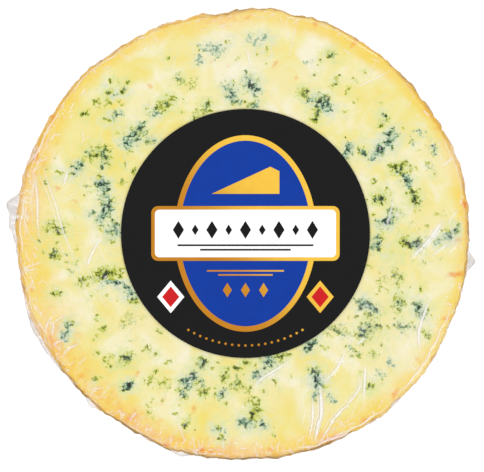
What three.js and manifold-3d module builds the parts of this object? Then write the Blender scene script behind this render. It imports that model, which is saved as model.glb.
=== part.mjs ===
// A round of blue Stilton: a flat slice cut straight across a 200 mm drum, shrink wrapped in clear
// film, with a round paper label on the cut face. Millimetres, +Z up. The origin is the middle of
// the face that it rests on, and the label faces up.
import * as THREE from "three";
import { mergeVertices } from "three/addons/utils/BufferGeometryUtils.js";
import { ImprovedNoise } from "three/addons/math/ImprovedNoise.js";
import Module from "manifold-3d";

const wasm = await Module();
wasm.setup();

// The wrapped round, film included. A drum of Stilton is about 200 mm across.
const drumRadius = 100;
const roundHeight = 68;
const topRimRadius = 2.6; // the cut edge, which the tight film turns over
const baseRimRadius = 4;
const sideBulge = 0.7; // how far the side swells between its two cut edges

// How finely the round is cut into facets.
const turns = 96;
const topRings = 12;
const baseRings = 5;
const rimSteps = 3;
const sideSteps = 11;
const tidyWithin = 0.02; // joining leaves slivers, which are closed up within this distance

// Bulges and dents of the rind, seen from above: degrees from +X, half width in degrees, millimetres.
const rindLobes = [
  { at: 4, spread: 10, by: 0.5 },
  { at: 19, spread: 9, by: 1.1 },
  { at: 50, spread: 8, by: 0.5 },
  { at: 68, spread: 8, by: 1.0 },
  { at: 84, spread: 5, by: 1.0 },
  { at: 96, spread: 6, by: -1.4 },
  { at: 107, spread: 5, by: -0.7 },
  { at: 121, spread: 6, by: -0.8 },
  { at: 164, spread: 5, by: 0.5 },
  { at: 177, spread: 6, by: 0.8 },
  { at: 200, spread: 8, by: 0.6 },
  { at: 239, spread: 5, by: -0.5 },
  { at: 250, spread: 6, by: 0.7 },
  { at: 290, spread: 6, by: 0.7 },
  { at: 308, spread: 9, by: 1.3 },
  { at: 325, spread: 7, by: 1.2 },
  { at: 345, spread: 9, by: 0.6 },
];

// Relief of the crust and of the film that bridges it.
const crustRelief = 0.55;
const crustGrain = 9; // the size of the crust's lumps
const pleatRelief = 0.35; // upright pleats in the film round the side
const pleatCount = 34;
const pleatWander = 3; // how far the crust's lumps push a pleat aside, in radians
const faceRelief = 0.45; // hollows in the cut face, where the veins open
const faceGrain = 13;
const faceClosed = 0.4; // the share of that noise that makes no hollow
const wallFrom = 0.9; // the shares of the radius between which the cut face turns into the side
const wallBy = 0.99;

// The label, on the film.
const labelRadius = 55;
const labelThickness = 0.4;
const labelCentre = new THREE.Vector2(1.3, 0.5);
const flatMargin = 3; // the face is flat under the label and this far round it
const hollowsBy = 8; // and has its full hollows this much further out
const seatGap = 0.3; // between the label and the film

// The film's welded seam: a thin fin round the front of the side, from one corner ear to the other.
const seamHeight = 36;
const seamThickness = 0.7;
const seamRoot = 3; // how deep the fin's foot is sunk in the round
const seamReach = 1.3;
const seamWave = 1.4;
const seamWaves = 11;
const seamRagged = 0.5; // how uneven the free edge is
const seamRaggedEach = 2.5; // over this many degrees
const seamStart = 158;
const seamEnd = 372;
const seamSteps = 80;
const seamTaper = 0.02; // the share of its length over which it fades out at each end

// Where the seam stands out further: the two ears and the loose fringe between them.
const seamFlaps = [
  { at: 172.4, spread: 2.2, by: 4.6 },
  { at: 177, spread: 4, by: 3.0 },
  { at: 207, spread: 10, by: 1.9 },
  { at: 228.5, spread: 1.6, by: 1.9 },
  { at: 254, spread: 2.6, by: 1.9 },
  { at: 352.6, spread: 2.8, by: 3.6 },
];

const noise = new ImprovedNoise();
const radians = THREE.MathUtils.degToRad;

// The sum of smooth humps round the circle, at a turn in degrees.
function humps(turn, list) {
  return list.reduce((sum, hump) => {
    const away = THREE.MathUtils.euclideanModulo(turn - hump.at + 180, 360) - 180;
    return sum + hump.by * Math.exp(-((away / hump.spread) ** 2));
  }, 0);
}

// The profile from the middle of the base, out, up the side and back to the middle of the top.
function roundProfile() {
  const points = [];
  const baseFlat = drumRadius - baseRimRadius;
  const topFlat = drumRadius - topRimRadius;
  for (let i = 0; i < baseRings; i++) points.push(new THREE.Vector2((baseFlat * i) / baseRings, 0));
  const arc = (centreR, centreZ, radius, from) => {
    for (let i = 0; i <= rimSteps; i++) {
      const turn = from + ((Math.PI / 2) * i) / rimSteps;
      points.push(new THREE.Vector2(centreR + radius * Math.cos(turn), centreZ + radius * Math.sin(turn)));
    }
  };
  arc(baseFlat, baseRimRadius, baseRimRadius, -Math.PI / 2);
  const wallHeight = roundHeight - topRimRadius - baseRimRadius;
  for (let i = 1; i < sideSteps; i++)
    points.push(new THREE.Vector2(drumRadius, baseRimRadius + (wallHeight * i) / sideSteps));
  arc(topFlat, roundHeight - topRimRadius, topRimRadius, 0);
  for (let i = topRings - 1; i >= 0; i--)
    points.push(new THREE.Vector2((topFlat * i) / topRings, roundHeight));
  return points;
}

// Moves one point of the turned form out to the crust's own outline, and gives it its relief.
function crust(point) {
  const radius = Math.hypot(point.x, point.y);
  if (radius < 1e-6) return;
  const turn = THREE.MathUtils.radToDeg(Math.atan2(point.y, point.x));
  const height = point.z;
  const share = radius / drumRadius;
  const onWall = THREE.MathUtils.smoothstep(share, wallFrom, wallBy);
  const up = height / roundHeight;
  const bulge = sideBulge * Math.sin(Math.PI * up);
  const lumps = noise.noise(point.x / crustGrain, point.y / crustGrain, height / crustGrain);
  const pleats = Math.sin(radians(turn * pleatCount) + pleatWander * lumps) * Math.sin(Math.PI * up) ** 2;
  const out = humps(turn, rindLobes) * share ** 3
    + onWall * (bulge + crustRelief * lumps + pleatRelief * pleats);
  const grown = (radius + out) / radius;
  if (height > roundHeight - 0.01) {
    const fromLabel = Math.hypot(point.x - labelCentre.x, point.y - labelCentre.y) - labelRadius;
    const open = THREE.MathUtils.smoothstep(fromLabel, flatMargin, flatMargin + hollowsBy) * (1 - onWall);
    const hollow = noise.noise(point.x / faceGrain, point.y / faceGrain, 0.2) - faceClosed;
    point.z += faceRelief * open * Math.min(hollow, 0);
  }
  point.x *= grown;
  point.y *= grown;
}

// Changes each vertex of a geometry by a function, after its shared vertices are merged.
function shaped(geometry, change) {
  geometry.deleteAttribute("normal");
  geometry.deleteAttribute("uv");
  const merged = mergeVertices(geometry, 1e-3);
  const positions = merged.getAttribute("position");
  const point = new THREE.Vector3();
  for (let i = 0; i < positions.count; i++) {
    point.fromBufferAttribute(positions, i);
    change(point);
    positions.setXYZ(i, point.x, point.y, point.z);
  }
  return merged;
}

// A closed, merged geometry as a solid, without the flat triangles at a turned form's poles.
function solidOf(geometry) {
  const index = geometry.index.array;
  const kept = [];
  for (let i = 0; i < index.length; i += 3) {
    const [a, b, c] = [index[i], index[i + 1], index[i + 2]];
    if (a !== b && b !== c && c !== a) kept.push(a, b, c);
  }
  return new wasm.Manifold(new wasm.Mesh({
    numProp: 3,
    vertProperties: new Float32Array(geometry.getAttribute("position").array),
    triVerts: new Uint32Array(kept),
  }));
}

function geometryOf(solid) {
  const mesh = solid.getMesh();
  const geometry = new THREE.BufferGeometry();
  geometry.setAttribute("position", new THREE.BufferAttribute(mesh.vertProperties, 3));
  geometry.setIndex(new THREE.BufferAttribute(mesh.triVerts, 1));
  geometry.computeVertexNormals();
  return geometry;
}

// The cheese in its film: a turned slice whose outline, side and cut face are those of a real one.
function wrappedRound() {
  const lathe = new THREE.LatheGeometry(roundProfile(), turns);
  lathe.rotateX(Math.PI / 2); // the profile's height now runs along +Z
  return solidOf(shaped(lathe, crust));
}

// The seam: a thin strip bent round the side, wavy at its free edge, with its ears and fringe.
function filmSeam() {
  const strip = new THREE.BoxGeometry(1, 1, seamThickness, seamSteps, 1, 1);
  return solidOf(shaped(strip, (point) => {
    const along = point.x + 0.5;
    const outward = point.y + 0.5;
    const turn = seamStart + (seamEnd - seamStart) * along;
    const ends = THREE.MathUtils.smoothstep(0.5 - Math.abs(along - 0.5), 0, seamTaper);
    const ragged = seamRagged * noise.noise(turn / seamRaggedEach, 0.1, 0.3);
    const reach = ends * (seamReach + ragged + humps(turn, seamFlaps));
    const foot = drumRadius + humps(turn, rindLobes) - seamRoot;
    const radius = foot + outward * (seamRoot + sideBulge + reach);
    const wave = seamWave * Math.sin((2 * Math.PI * seamWaves * along)) * outward;
    const height = seamHeight + wave + point.z;
    const angle = radians(turn);
    point.set(radius * Math.cos(angle), radius * Math.sin(angle), height);
  }));
}

function named(name, geometry, material) {
  const mesh = new THREE.Mesh(geometry, material);
  mesh.name = name;
  return mesh;
}

const wrappedCheese = named(
  "wrapped_cheese",
  geometryOf(wrappedRound().add(filmSeam()).asOriginal().simplify(tidyWithin)),
  new THREE.MeshStandardMaterial({ color: 0xefe2a4, roughness: 0.3, metalness: 0 }),
);

const labelDisc = new THREE.CylinderGeometry(labelRadius, labelRadius, labelThickness, turns);
labelDisc.rotateX(Math.PI / 2);
const label = named(
  "label",
  labelDisc,
  new THREE.MeshStandardMaterial({ color: 0x1e1e1e, roughness: 0.45, metalness: 0 }),
);
label.position.set(labelCentre.x, labelCentre.y, roundHeight + seatGap + labelThickness / 2);

const stiltonRound = new THREE.Group();
stiltonRound.add(wrappedCheese, label);

export default stiltonRound;
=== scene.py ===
"""A wrapped round of blue Stilton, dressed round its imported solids: cheese, clear film and paper label."""

import math
import random

import bmesh
import bpy
import numpy as np
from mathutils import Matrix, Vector, kdtree, noise


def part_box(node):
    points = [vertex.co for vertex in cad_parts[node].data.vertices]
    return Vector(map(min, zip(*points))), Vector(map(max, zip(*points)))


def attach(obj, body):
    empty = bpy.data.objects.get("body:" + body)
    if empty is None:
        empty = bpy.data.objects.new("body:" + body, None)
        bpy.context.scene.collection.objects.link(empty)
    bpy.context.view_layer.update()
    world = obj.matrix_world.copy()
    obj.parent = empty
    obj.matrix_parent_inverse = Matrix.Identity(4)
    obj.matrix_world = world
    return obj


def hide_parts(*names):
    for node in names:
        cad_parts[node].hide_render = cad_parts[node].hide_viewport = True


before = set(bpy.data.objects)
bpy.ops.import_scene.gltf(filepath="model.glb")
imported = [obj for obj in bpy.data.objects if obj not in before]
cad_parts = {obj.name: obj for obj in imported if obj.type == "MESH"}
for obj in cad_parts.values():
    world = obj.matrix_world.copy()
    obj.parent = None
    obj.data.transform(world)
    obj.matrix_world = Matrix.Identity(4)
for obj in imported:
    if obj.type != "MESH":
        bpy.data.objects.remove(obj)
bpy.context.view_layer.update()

# The view
# The round is seen from straight above, centred on its cut face. Its outline is a circle of
# 226.3 pixels about (242.5, 234.6) in a frame of 484 by 472, and the real round is 100 mm in radius.
MM = 0.001
ROUND_RADIUS = 100.0
ROUND_HEIGHT = 68.0
FRAME_SIZE_PX = (484, 472)
OUTLINE_CENTRE_PX = (242.5, 234.6)
OUTLINE_RADIUS_PX = 226.3
MM_PER_PX = ROUND_RADIUS / OUTLINE_RADIUS_PX
CAMERA_ABOVE = 1250.0
SENSOR_WIDTH = 36.0


def placed(name, data):
    """A new object in the scene with this data."""
    made = bpy.data.objects.new(name, data)
    bpy.context.scene.collection.objects.link(made)
    return made


camera_data = bpy.data.cameras.new("camera")
camera = placed("camera", camera_data)
camera.location = (
    (FRAME_SIZE_PX[0] / 2 - OUTLINE_CENTRE_PX[0]) * MM_PER_PX * MM,
    (OUTLINE_CENTRE_PX[1] - FRAME_SIZE_PX[1] / 2) * MM_PER_PX * MM,
    (ROUND_HEIGHT + CAMERA_ABOVE) * MM,
)
camera_data.sensor_width = SENSOR_WIDTH
camera_data.lens = SENSOR_WIDTH * CAMERA_ABOVE / (FRAME_SIZE_PX[0] * MM_PER_PX)
camera_data.clip_start = 0.01
camera_data.clip_end = 20.0
bpy.context.scene.camera = camera
bpy.context.scene.view_settings.view_transform = "Standard"

# The cheese
# A flat slice sawn across a drum of Stilton: creamy crumbly paste with blue mould in its cracks,
# and a dry brown rind round the side that is pricked with needle holes to let the mould breathe.
STEPS = 480
FILM_GAP = 0.35
RIM_RADIUS = 2.6
BASE_RIM_RADIUS = 4.0
SIDE_BULGE = 0.7
CRUST_GRAIN, CRUST_RELIEF = 9.0, 0.5
FACE_GRAIN, FACE_RELIEF, FACE_CLOSED = 12.0, 0.4, 0.25
WRINKLE_DEPTH, FOLD_DEPTH, FOLD_SHARE = 0.9, 0.7, 0.22
label_low, label_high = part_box("label")
LABEL_CENTRE = ((label_low[0] + label_high[0]) / 2 / MM, (label_low[1] + label_high[1]) / 2 / MM)
LABEL_RADIUS = (label_high[0] - label_low[0]) / 2 / MM

# Bulges and dents of the rind: degrees from +X, half width in degrees, millimetres.
RIND_LOBES = (
    (4, 10, 0.5), (19, 9, 1.1), (50, 8, 0.5), (68, 8, 1.0), (84, 5, 1.0), (96, 6, -1.4), (107, 5, -0.7),
    (121, 6, -0.8), (164, 5, 0.5), (177, 6, 0.8), (200, 8, 0.6), (239, 5, -0.5), (250, 6, 0.7),
    (290, 6, 0.7), (308, 9, 1.3), (325, 7, 1.2), (345, 9, 0.6),
)

# Each mouldy crack on the upper face: x, y and reach in mm, slant in degrees, how strong it is in
# hundredths, and how blue, from 0 for olive to 100 for slate blue.
VEIN_ROWS = (
    # upper left
    (-13, 83, 6, -12, 60, 100), (-19, 78, 3.5, 60, 55, 100), (-28, 69, 3.5, -40, 70, 60),
    (-22, 67, 4, 60, 45, 10), (-59, 63, 1.6, 40, 100, 20), (-53, 64, 2, 60, 100, 30),
    (-56, 62, 3, 0, 50, 90), (-64, 58, 3.5, -30, 50, 20), (-56, 53, 3.2, 20, 75, 80),
    (-60, 51, 1.4, 0, 95, 0), (-34, 58, 4.4, 40, 100, 20), (-39, 54, 4, 40, 70, 80),
    (-16, 57, 3.6, 60, 85, 50), (-20, 53, 3.6, 50, 55, 30), (-5, 63, 5.5, -45, 85, 80),
    (-47, 45, 6, 35, 95, 70), (-50, 41, 5, 20, 95, 80), (-40, 42, 3.5, -20, 80, 70),
    (-65, 36, 6, 20, 90, 40), (-61, 33, 4.4, 70, 85, 50), (-73, 29, 4.6, 45, 85, 80),
    (-81, 27, 1.6, 0, 85, 10), (-62, 22, 4, -30, 100, 80), (-61, 17, 4, -65, 80, 80),
    (-60, 12, 5.5, 80, 95, 80), (-62, 7, 4, 60, 80, 80), (-67, 9, 2, 0, 75, 80), (-68, 19, 3.2, 50, 45, 0),
    (-48, 28, 2.4, 70, 65, 30), (-53, 23, 2.4, 0, 50, 50), (-85, 3, 4, 20, 80, 10),
    (-80, 2, 3.2, 40, 90, 10), (-57, 2, 5.5, 70, 90, 80),
    # lower left
    (-83, -9, 3.4, -70, 90, 10), (-76, -16, 1.8, 0, 60, 50), (-82, -26, 2.4, 10, 90, 0),
    (-70, -21, 4.4, 20, 70, 0), (-61, -18, 5.4, 10, 100, 10), (-55, -17, 4, 20, 70, 10),
    (-60, -21, 4, 5, 65, 100), (-55, -21, 2.6, -10, 100, 100), (-50, -25, 4.6, -50, 95, 90),
    (-48, -29, 2.4, -50, 90, 30), (-50, -38, 6, 50, 42, 60), (-64, -37, 2, 60, 65, 0),
    (-62, -42, 2, 0, 75, 0), (-77, -40, 2.8, 35, 90, 70), (-78, -44, 3, 80, 85, 90),
    (-52, -55, 4.4, 35, 100, 30), (-59, -55, 3.8, 40, 55, 0), (-42, -51, 2.4, 0, 55, 10),
    (-33, -57, 2, 0, 55, 0), (-65, -64, 2, 30, 65, 0), (-51, -67, 3, 10, 95, 70),
    (-41, -65, 3.4, 60, 45, 20), (-35, -66, 4, 10, 65, 20), (-18, -57, 3.6, 20, 100, 50),
    (-22, -63, 4.4, 65, 95, 70), (-25, -66, 3.6, 0, 100, 70), (-26, -70, 3, 70, 75, 60),
    (-18, -66, 2.8, 80, 75, 60), (-17, -70, 2.8, -10, 85, 0), (-8, -62, 3, 70, 100, 10),
    (-2, -59, 2, 0, 85, 20), (-3, -66, 3.4, 75, 75, 40), (-9, -70, 3, 50, 85, 70),
    (-41, -79, 3.4, -70, 42, 30), (-25, -83, 2.8, 65, 75, 0), (-11, -85, 1.8, 80, 95, 10),
    (-10, -87, 3.4, -20, 55, 90),
    # lower right
    (59, -4, 5, 60, 80, 70), (72, -3, 4, -50, 100, 0), (76, -4, 3.8, -20, 100, 50),
    (93.5, 1.7, 2.4, 36, 100, 70), (90.3, -0.6, 2.8, 36, 100, 90), (87, -3, 2.4, 36, 80, 100),
    (80, -12, 3, 10, 55, 60), (68, -19, 4, -70, 75, 20), (61, -22, 5, 60, 45, 10),
    (54, -31, 4.6, -40, 90, 80), (58, -33, 4, -20, 95, 60), (69, -31, 5, 80, 70, 50),
    (70, -40, 3.2, -20, 80, 60), (78, -33, 4, -60, 100, 80), (81, -43, 2.2, -50, 75, 0),
    (55, -42, 6, 45, 100, 50), (44, -43, 5, -40, 55, 70), (30, -48, 4.6, 60, 100, 80),
    (39, -42, 4.4, 0, 60, 50), (12, -56, 4.8, 50, 100, 70), (17, -54, 4, 25, 70, 40),
    (7, -62, 3.6, 45, 90, 80), (2, -57, 2, 0, 85, 20), (33, -64, 4.4, -70, 100, 100),
    (32, -60, 3, 0, 85, 60), (32, -70, 3.4, 85, 60, 80), (50, -52, 4.4, -25, 50, 70),
    (57, -53, 2.6, 10, 65, 40), (61, -61, 3.6, 10, 42, 90), (65, -56, 3, -60, 50, 100),
    (56, -67, 2, 0, 95, 0), (39, -72, 3, -65, 50, 100), (3, -72, 4, -70, 55, 30),
    (5, -79, 4.6, 75, 100, 10), (2, -83, 4.4, -10, 95, 80), (9, -84, 3.4, -60, 85, 80),
    (74, -41, 4.4, 20, 45, 70),
    # upper right
    (4, 66, 5, -50, 100, 80), (5, 57, 3, 30, 85, 70), (4, 86, 5, -30, 50, 100), (10, 86, 2.4, 5, 80, 100),
    (39, 79, 3, -50, 85, 40), (29, 76, 2.4, 0, 40, 100), (27, 62, 3.4, -40, 90, 10),
    (33, 59, 4.6, 10, 95, 70), (36, 57, 4.4, -35, 100, 100), (33, 54, 4.4, 60, 85, 40),
    (41, 67, 2.6, 50, 75, 20), (54, 72, 1.6, 0, 55, 0), (50, 59, 2, 40, 45, 10), (62, 53, 1.4, 0, 85, 60),
    (62, 49, 3, 50, 75, 30), (65, 42, 5, 55, 100, 90), (60, 37, 4.4, 45, 95, 90), (47, 37, 3.8, 75, 90, 80),
    (53, 37, 3, -15, 85, 60), (78, 45, 3, -30, 50, 90), (75, 41, 2.2, -60, 55, 90),
    (84, 38, 4, -70, 50, 80), (82, 30, 3.4, -45, 40, 70), (69, 29, 4.6, 5, 95, 30),
    (72, 24, 4, -60, 85, 80), (75, 17, 3.6, -75, 100, 30), (77, 14, 3.4, -60, 55, 60),
    (61, 16, 4.4, 10, 100, 30), (58, 24, 1.6, 0, 65, 0), (66, 8, 4.6, 50, 95, 70), (63, 5, 4, 10, 95, 80),
    (87, 9, 2.6, 10, 45, 30),
)
VEINS = [(*row[:4], row[4] / 100, row[5] / 100) for row in VEIN_ROWS]

# Where the paste under the rind is flushed with orange, or paler: degrees, half width, how much.
RIM_BLUSHES = (
    (209, 8, 0.5), (238, 16, 0.5), (268, 16, 0.5), (95, 8, 0.4), (32, 9, 0.3), (165, 20, 0.35), (4, 6, 0.3),
    (292, 4, 0.4), (328, 24, -0.35), (74, 14, -0.5),
)

# How much further in than usual the rind warms the paste: degrees, half width, millimetres.
EDGE_REACH = 17.0
WARM_REACHES = ((198, 38, 15.0), (345, 34, -8.0), (35, 22, -7.0), (75, 14, -4.0), (130, 20, -7.0))

# Orange streaks where the rind's own flora runs in: x, y, heading in degrees, length in mm, how strong.
ORANGE_STREAKS = (
    (97.5, 13.5, 95, 4, 0.9), (94, -2.5, 20, 6, 1.0), (94, -17.5, 5, 8, 0.9), (89.5, -37, 10, 4, 0.8),
    (77, -55, 130, 5, 0.5), (67, -69.5, 60, 6, 0.7), (53, -81, 30, 5, 0.7), (40, -89.5, 15, 9, 0.9),
    (-83.5, 52, 60, 5, 0.6), (-91.5, 35, 70, 6, 0.7), (-74, 13, 10, 6, 0.35), (-41, 66, 140, 3, 0.8),
    (-41.5, 58, 140, 4, 0.4), (-53, 57.5, 150, 2.5, 0.6), (-81.5, 20.5, 0, 3, 0.8), (2, 96, 20, 5, 0.6),
    (-72, -62.5, 40, 3, 0.8), (-46.5, -61.5, 65, 5, 0.6), (-21.5, -77, 75, 4, 0.8), (-35, -73, 65, 6, 0.5),
    (-49, -81, 30, 8, 0.6), (-33.5, -92, 0, 3, 1.0), (-18, -95, 10, 3, 1.0), (-14, -96, 10, 2, 0.9),
    (-84, -47, 120, 6, 0.7), (-93, -24, 95, 5, 0.6), (12, -95, 170, 5, 0.6), (78, 59, 50, 4, 0.5),
    (32, 92.5, 80, 4, 0.7), (49, 84, 50, 5, 0.7), (14.5, 75.5, 60, 4, 0.7), (23.5, 69, 80, 3, 0.6),
    (-14, 77, 10, 3, 0.5), (-6.5, 75, 60, 3.5, 0.5), (-74, 15, 5, 5, 0.5), (-71, -4, 5, 4, 0.4),
)

# Paler patches of the face, where the film stands off it too: x, y, reach in mm, how pale.
PALE_PATCHES = (
    (-5, 80, 17, 0.28), (-14, 84, 9, 0.22), (30, 68, 9, 0.22), (86, -2, 12, 0.26), (70, -47, 14, 0.32),
    (64, -58, 10, 0.28), (33, -78, 6, 0.35), (-92, 14, 10, 0.2), (-88, -40, 12, 0.15), (-72, -30, 10, 0.06),
    (2, -93, 10, 0.18), (90, 32, 9, 0.2), (50, -36, 15, 0.34), (-40, -86, 12, 0.08), (-44, -44, 13, 0.24),
    (15, 65, 10, 0.25), (63, -18, 11, 0.26), (10, -66, 12, 0.15), (-20, -62, 12, 0.15),
)

# Where the paste is greenish between the veins too: x, y, reach in mm, how much.
GREEN_PATCHES = (
    (66, -10, 10, 0.85), (70, -28, 10, 0.85), (61, -43, 9, 0.75), (62, 20, 9, 0.6), (54, 42, 7, 0.6),
    (-58, -8, 7, 0.5),
)

# Where the rind is dark at the lip of the upper cut: degrees, half width, how dark.
DARK_LIPS = (
    (74, 16, 0.45), (93, 8, 0.4), (128, 8, 0.4), (222, 9, 0.7), (243, 12, 1.0), (268, 12, 0.9),
    (291, 12, 0.8), (348, 16, 0.4), (38, 12, 0.5), (5, 8, 0.3),
)

# Small specks of mould between the larger veins, the veins of the hidden face, and the needle holes.
UPPER_SPECKS = 260
BASE_VEINS = 110
NEEDLE_HOLES = 22
NEEDLE_ROWS = (19.0, 47.0)
HOLE_RADIUS, HOLE_EDGE, HOLE_DEPTH = 0.7, 1.7, 1.3

# How the mould's cracks and blobs fray and add up, and how deep they open the face.
CRACK_STEP = 0.45
MOULD_SWAY, MOULD_FINE_SWAY = 1.1, 0.5
BLOB_SHARE, CRACK_SHARE = 0.66, 0.36
HALO_REACH = 4.5
VEIN_DEPTH, VEIN_DEPTH_SWING, CRUMB_RELIEF = 0.3, 0.8, 0.1


def smooth(low, high, value):
    """A smooth step from 0 at low to 1 at high, for numbers or arrays."""
    share = np.clip((value - low) / (high - low), 0, 1)
    return share * share * (3 - 2 * share)


def lumps(points, size, shift=0.0, kind=noise.noise):
    """Smooth noise from about -1 to 1 at each point, with lumps about size mm across."""
    start = Vector((shift, shift * 0.7, shift * 1.3))
    return np.array([kind(Vector(point) / size + start) for point in points])


def crumbs(points, size, shift):
    """Rough noise from about 0 to 1 with four octaves, the largest about size mm across."""
    return lumps(points, size, shift, lambda place: noise.turbulence(place, 4, False))


def humps(turn, rows):
    """The sum of smooth humps round the circle, at an array of turns in degrees."""
    total = np.zeros_like(turn)
    for at, spread, by in rows:
        away = (turn - at + 180) % 360 - 180
        total += by * np.exp(-((away / spread) ** 2))
    return total


def round_axis(points):
    """Each point's radius, its direction from the axis in degrees, and its height."""
    x, y, height = points.T
    return np.hypot(x, y), np.degrees(np.arctan2(y, x)), height


def pushed_out(points, radius, by):
    """The points moved straight out from the axis by so many mm at this radius."""
    moved = points.copy()
    moved[:, :2] *= ((radius + by) / np.maximum(radius, 1e-6))[:, None]
    return moved


def away_from(points, x, y):
    """How far each point lies from an upright line through this place."""
    return np.hypot(points[:, 0] - x, points[:, 1] - y)


def on_side(radius):
    """1 on the side of the round, and 0 on its two faces."""
    return smooth(0.985, 0.995, radius / ROUND_RADIUS)


def onward(start, heading, length):
    """The place that lies this far from start, in a direction in radians."""
    return (start[0] + length * math.cos(heading), start[1] + length * math.sin(heading))


def evenly(start, end, count):
    """Count values from start up to, and without, end."""
    return [start + (end - start) * i / count for i in range(count)]


def slice_profile(inset, base_rings, side_rings, inner_rings, face_rings, rim_steps=5):
    """Radius and height of the plain turned slice, from the middle of the base to that of the top."""
    radius, top, floor = ROUND_RADIUS - inset, ROUND_HEIGHT - inset, inset * 0.5
    base_flat, top_flat = radius - BASE_RIM_RADIUS, radius - RIM_RADIUS
    points = [(r, floor) for r in evenly(0, base_flat, base_rings)]
    for turn in evenly(-math.pi / 2, 0, rim_steps):
        points.append((
            base_flat + BASE_RIM_RADIUS * math.cos(turn),
            floor + BASE_RIM_RADIUS * (1 + math.sin(turn)),
        ))
    points += [(radius, z) for z in evenly(floor + BASE_RIM_RADIUS, top - RIM_RADIUS, side_rings)]
    for turn in evenly(0, math.pi / 2, rim_steps):
        points.append((
            top_flat + RIM_RADIUS * math.cos(turn),
            top - RIM_RADIUS * (1 - math.sin(turn)),
        ))
    under_label = LABEL_RADIUS - 4
    points += [(r, top) for r in evenly(top_flat, under_label, face_rings)]
    points += [(r, top) for r in evenly(under_label, 0, inner_rings)]
    return points + [(0, top)]


def turned(profile, steps):
    """A closed form turned about Z from a profile whose two ends are on the axis."""
    form = bmesh.new()
    ring = [form.verts.new((radius, 0, height)) for radius, height in profile]
    edges = [form.edges.new(pair) for pair in zip(ring, ring[1:])]
    bmesh.ops.spin(
        form, geom=ring + edges, cent=(0, 0, 0), axis=(0, 0, 1), dvec=(0, 0, 0),
        angle=math.tau, steps=steps, use_merge=True, use_duplicate=False,
    )
    bmesh.ops.remove_doubles(form, verts=form.verts, dist=1e-4)
    bmesh.ops.recalc_face_normals(form, faces=form.faces)
    return form


def places(form):
    """The coordinates of a form's vertices as an array."""
    return np.array([vertex.co for vertex in form.verts])


def refine(form, wanted):
    """Splits in four each face whose centre the function wanted picks out."""
    centres = np.array([face.calc_center_median() for face in form.faces])
    chosen = wanted(centres)
    edges = {edge for face, take in zip(form.faces, chosen) if take for edge in face.edges}
    bmesh.ops.subdivide_edges(form, edges=list(edges), cuts=1, use_grid_fill=True)


def mesh_of(form, name, material):
    """The mesh of a form, which is used up."""
    mesh = bpy.data.meshes.new(name)
    form.to_mesh(mesh)
    form.free()
    mesh.materials.append(material)
    return mesh


def finished(form, points, name, material, values):
    """The object for a form moved to points in mm, with a number kept at each vertex by name."""
    for vertex, point in zip(form.verts, points):
        vertex.co = Vector(point) * MM
    for face in form.faces:
        face.smooth = True
    mesh = mesh_of(form, name, material)
    for key, array in values.items():
        kept = mesh.attributes.new(key, "FLOAT", "POINT")
        kept.data.foreach_set("value", np.asarray(array, np.float32))
    made = placed(name, mesh)
    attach(made, "root")
    return made


def skin(points):
    """The shared surface that the crust and the film follow: the slice with its lobes and swells."""
    radius, turn, height = round_axis(points)
    share = radius / ROUND_RADIUS
    up = np.clip(height / ROUND_HEIGHT, 0, 1)
    on_wall = smooth(0.9, 0.99, share)
    out = humps(turn, RIND_LOBES) * share**3
    out += on_wall * (SIDE_BULGE * np.sin(math.pi * up) + CRUST_RELIEF * lumps(points, CRUST_GRAIN))
    grown = pushed_out(points, radius, out)
    from_label = away_from(points, *LABEL_CENTRE)
    open_face = smooth(LABEL_RADIUS + 2, LABEL_RADIUS + 10, from_label) * (1 - on_wall)
    hollow = np.minimum(lumps(points, FACE_GRAIN, 4.2) - FACE_CLOSED, 0)
    grown[:, 2] += FACE_RELIEF * open_face * hollow * (height > ROUND_HEIGHT / 2)
    return grown


def cracks_of(rows, draw):
    """Points along the branching cracks of each vein: place, half width and strength."""
    found = []
    for x, y, reach, slant, strength, _ in rows:
        for _ in range(3 + int(1.4 * reach)):
            heading = math.radians(slant + draw.gauss(0, 42) + 180 * draw.randint(0, 1))
            along = draw.uniform(-0.7, 0.7) * reach
            px = x + along * math.cos(math.radians(slant)) + draw.gauss(0, 0.2) * reach
            py = y + along * math.sin(math.radians(slant)) + draw.gauss(0, 0.2) * reach
            width = draw.uniform(0.3, 0.8) * (0.5 + 0.5 * strength)
            force = strength * draw.uniform(0.6, 1.0)
            for _ in range(max(int(draw.uniform(0.3, 0.9) * reach / CRACK_STEP), 2)):
                found.append((px, py, width, force))
                heading += draw.gauss(0, 0.5)
                px, py = onward((px, py), heading, CRACK_STEP)
                width *= draw.uniform(0.8, 1.2)
    return found


def along_and_across(points, x, y, heading):
    """How far each point lies along and across a line through this place, in mm."""
    ahead = np.array((math.cos(math.radians(heading)), math.sin(math.radians(heading))))
    away = points - (x, y)
    return away @ ahead, away @ (-ahead[1], ahead[0])


def finder(marks):
    """A tree that finds the marks near a place on a face."""
    tree = kdtree.KDTree(len(marks))
    for index, mark in enumerate(marks):
        tree.insert((mark[0], mark[1], 0), index)
    tree.balance()
    return tree


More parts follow.
